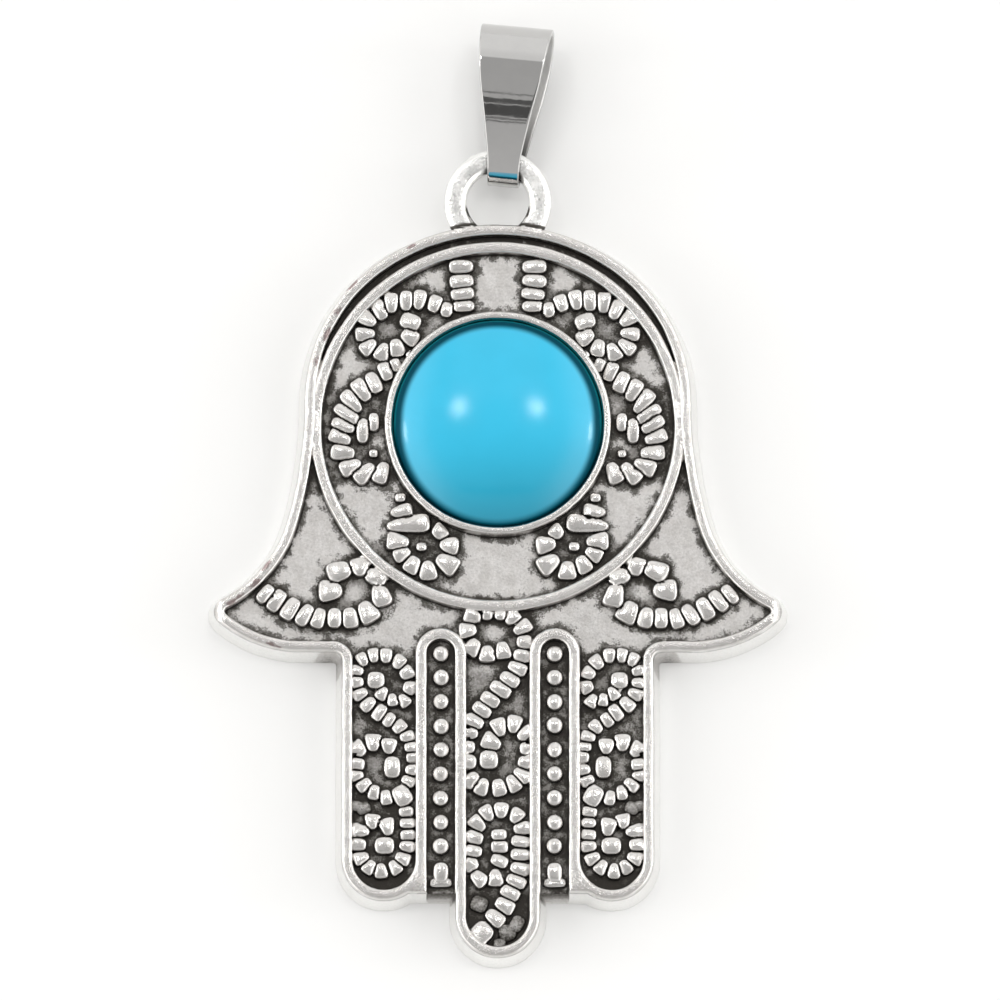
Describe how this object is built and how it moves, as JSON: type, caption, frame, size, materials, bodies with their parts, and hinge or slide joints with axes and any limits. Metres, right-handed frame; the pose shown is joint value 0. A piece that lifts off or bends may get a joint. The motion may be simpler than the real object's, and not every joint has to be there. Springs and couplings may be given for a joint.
{
  "type": "hamsa pendant",
  "caption": "Cast metal hand pendant with raised rope scrolls, a round cabochon set in its palm, and a tapered strip bail on its eyelet.",
  "frame": {"origin": "on the flat back of the hand, under the centre of the stone", "axes": "+Z out of the front, +Y up the hand towards the bail, +X to the right seen from the front"},
  "size_m": [0.0386, 0.0632, 0.0062],
  "materials": {
    "antiqued_silver": "antiqued silver plate on cast alloy, worn bright on the relief and blackened in the recesses",
    "turquoise": "polished sky-blue cabochon, darker round its edge",
    "polished_silver": "mirror-polished silver-plated strip"
  },
  "bodies": {
    "pendant": {"hamsa_casting": "antiqued_silver", "cabochon": "turquoise"},
    "bail": {"bail": "polished_silver"}
  },
  "joints": [
    {"name": "bail_swing", "type": "hinge", "parent": "pendant", "child": "bail", "pos_m": [0.00052, 0.01779, 0.00202], "axis": [0.9907, -0.1041, 0.0872], "range_deg": [-115, 115]}
  ]
}
